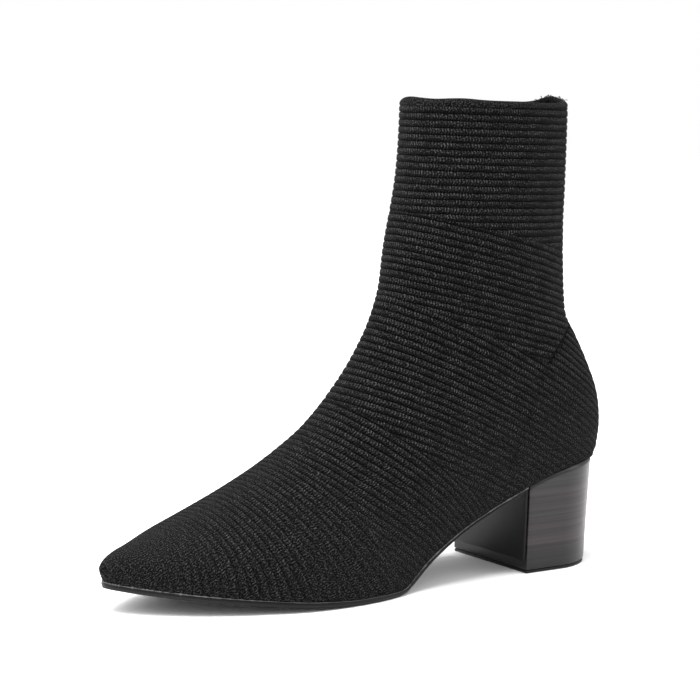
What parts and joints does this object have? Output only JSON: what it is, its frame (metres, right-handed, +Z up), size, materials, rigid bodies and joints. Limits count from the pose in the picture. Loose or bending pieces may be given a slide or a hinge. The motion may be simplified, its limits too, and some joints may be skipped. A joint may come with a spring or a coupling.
{
  "type": "knit ankle boot",
  "caption": "Pull-on ankle boot with a rib-knit sock upper, almond toe, thin rubber outsole and stacked block heel.",
  "frame": {"origin": "on the floor, at the middle of the heel's bottom face", "axes": "+X runs to the toe, +Y to the boot's outer side (its left), +Z up"},
  "size_m": [0.2541, 0.0813, 0.2145],
  "materials": {
    "rib_knit": "matt charcoal-black rib knit with lighter specks",
    "insole_cloth": "matt black sock lining",
    "outsole_rubber": "smooth satin black",
    "heel_wrap": "glossy near-black stacked-leather look with fine level streaks",
    "top_lift_rubber": "matt black"
  },
  "bodies": {
    "root": {"upper": "rib_knit", "insole": "insole_cloth", "outsole": "outsole_rubber", "heel_block": "heel_wrap", "top_lift": "top_lift_rubber"}
  },
  "joints": []
}
